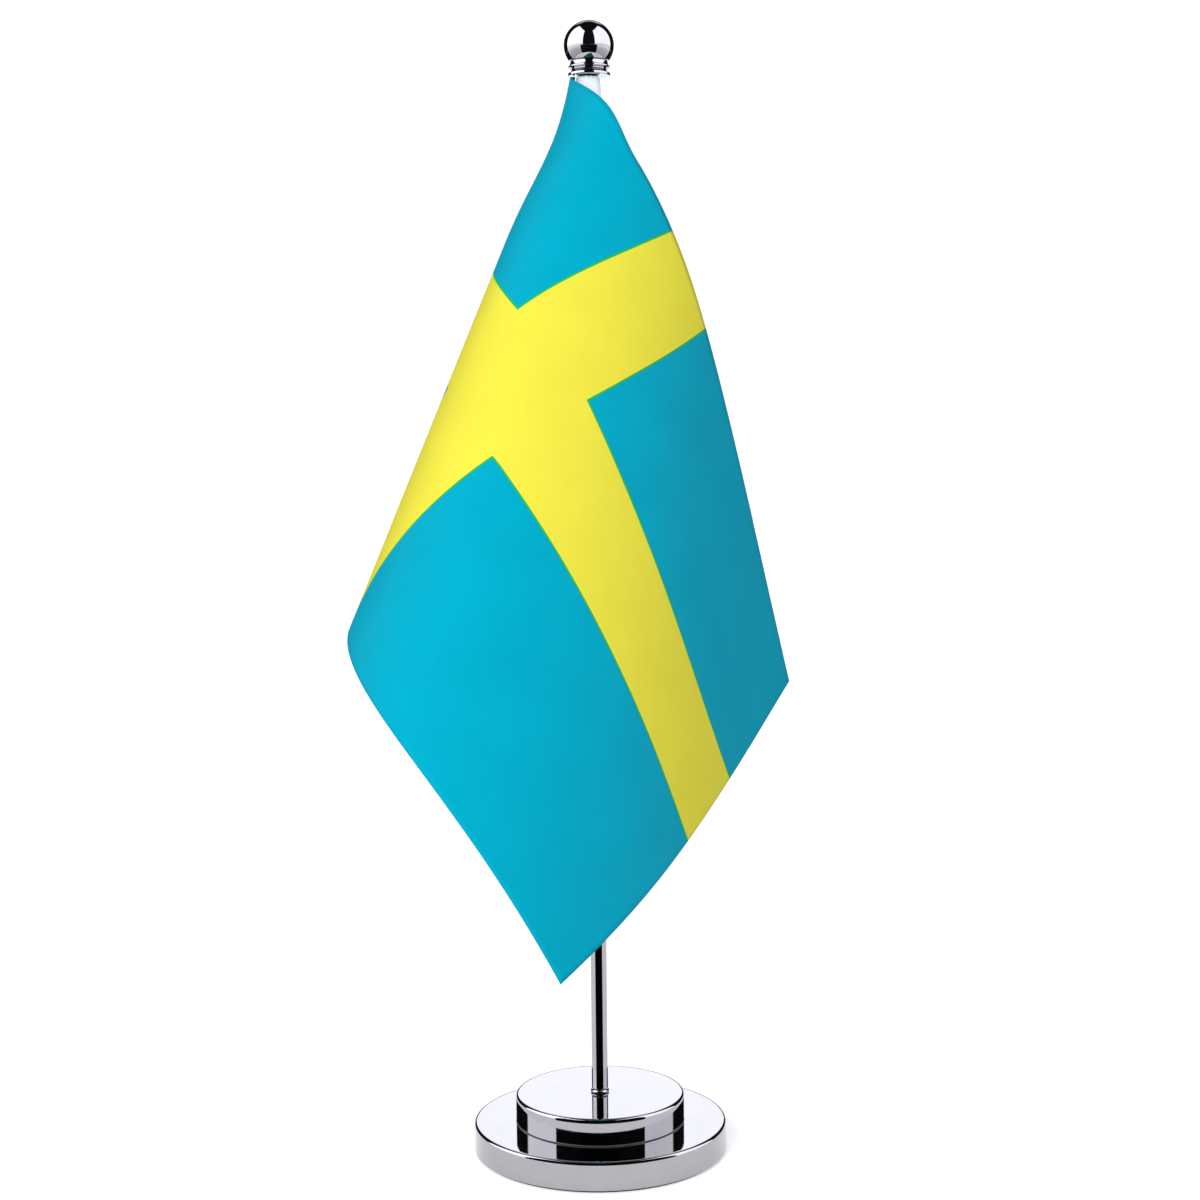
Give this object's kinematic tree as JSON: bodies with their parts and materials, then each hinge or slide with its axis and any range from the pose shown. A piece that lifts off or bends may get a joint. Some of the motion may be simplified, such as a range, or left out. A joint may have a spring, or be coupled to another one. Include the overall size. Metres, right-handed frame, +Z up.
{
  "type": "desk flag stand",
  "caption": "Stepped round chromed base with a thin pole, a ball finial and a small rolled satin flag on a sleeve that turns round the pole.",
  "frame": {"origin": "centre of the base pad's underside, on the table", "axes": "+Z up along the pole's axis; -Y towards the front of the curled flag; +X to the right as seen from the front"},
  "size_m": [0.1257, 0.1269, 0.3302],
  "materials": {
    "chrome": "mirror polished",
    "steel": "zinc plated",
    "ballast": "bare",
    "brass": "turned",
    "pad": "matt foam rubber",
    "heading_cloth": "woven polyester",
    "flag_satin": "printed satin"
  },
  "bodies": {
    "base": {"base_lower_shell": "chrome", "base_upper_cap": "chrome", "base_upper_ballast": "ballast", "base_lower_ballast": "ballast", "base_pad": "pad", "base_screw": "steel", "flat_washer": "steel", "lock_washer": "steel", "pole_seat_ring": "chrome"},
    "pole": {"pole_tube": "chrome", "pole_top_insert": "brass", "pole_bottom_insert": "brass"},
    "finial": {"finial_ball": "chrome", "finial_collar": "chrome", "finial_stud": "steel"},
    "flag": {"flag_sleeve": "heading_cloth", "flag_field": "flag_satin"}
  },
  "joints": [
    {"name": "pole_unscrew", "type": "slide", "parent": "base", "child": "pole", "axis": [0, 0, 1], "range_m": [0, 0.0093]},
    {"name": "finial_unscrew", "type": "slide", "parent": "pole", "child": "finial", "axis": [0, 0, 1], "range_m": [0, 0.008]},
    {"name": "flag_swivel", "type": "hinge", "parent": "pole", "child": "flag", "pos_m": [0, 0, 0.24], "axis": [0, 0, 1], "continuous": true}
  ]
}
